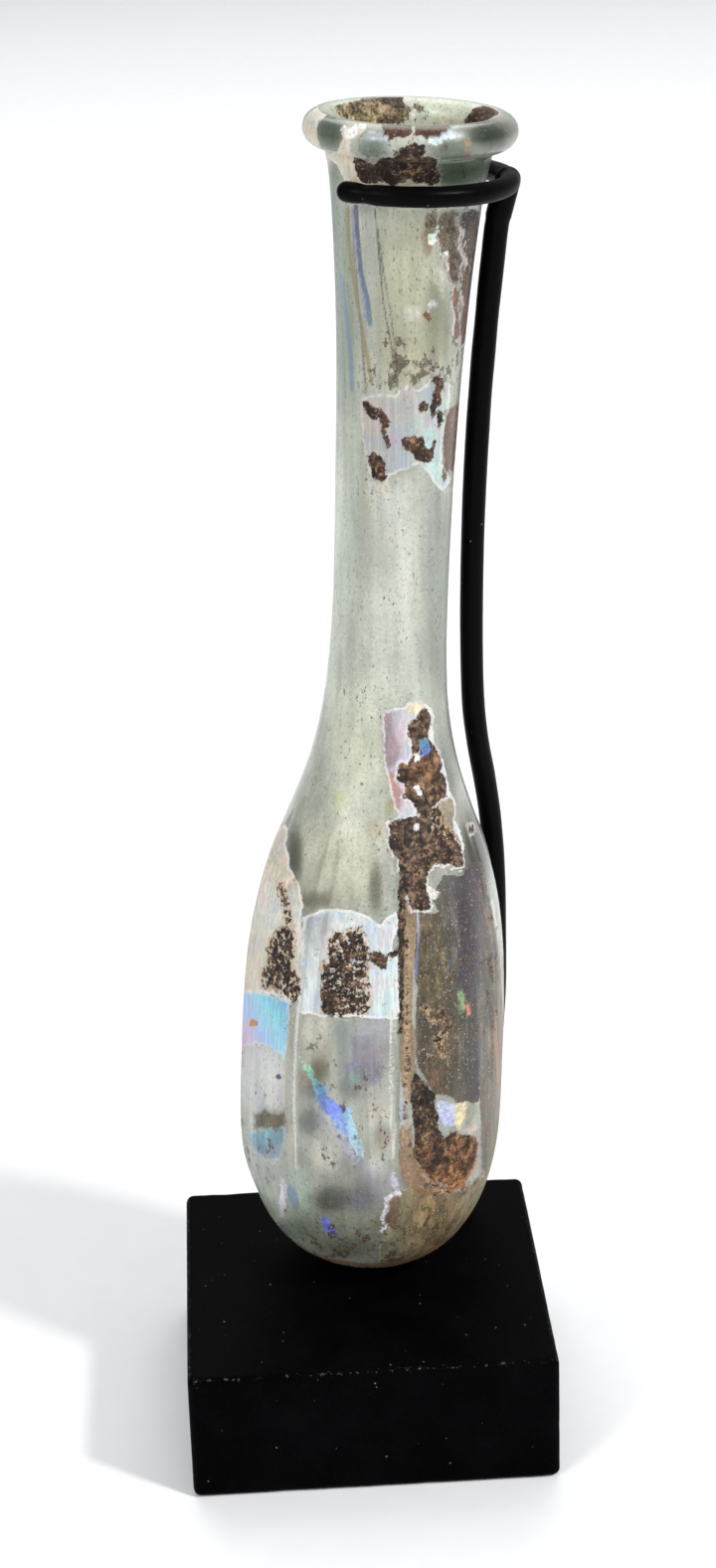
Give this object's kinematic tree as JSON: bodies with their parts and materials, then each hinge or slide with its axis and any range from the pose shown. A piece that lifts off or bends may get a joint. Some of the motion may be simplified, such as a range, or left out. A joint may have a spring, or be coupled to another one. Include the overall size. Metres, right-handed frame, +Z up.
{
  "type": "roman glass unguentarium on a display stand",
  "caption": "Slim free-blown glass perfume bottle with pinched ribs and burial weathering, held upright on a black block by a round wire hook.",
  "frame": {"origin": "middle of the block's underside, which is the surface the part stands on", "axes": "+Z up, -Y towards the viewer of the front, +X to the viewer's right, the side with the upright wire"},
  "size_m": [0.0508, 0.0513, 0.1831],
  "materials": {
    "weathered_glass": "hazy pale green glass with pearly film, iridescent flakes and brown soil crust",
    "black_wood": "satin black paint with worn, whitened edges and dust",
    "black_wire": "satin black paint"
  },
  "bodies": {
    "root": {"glass_bottle": "weathered_glass", "base_block": "black_wood", "wire_support": "black_wire"}
  },
  "joints": []
}
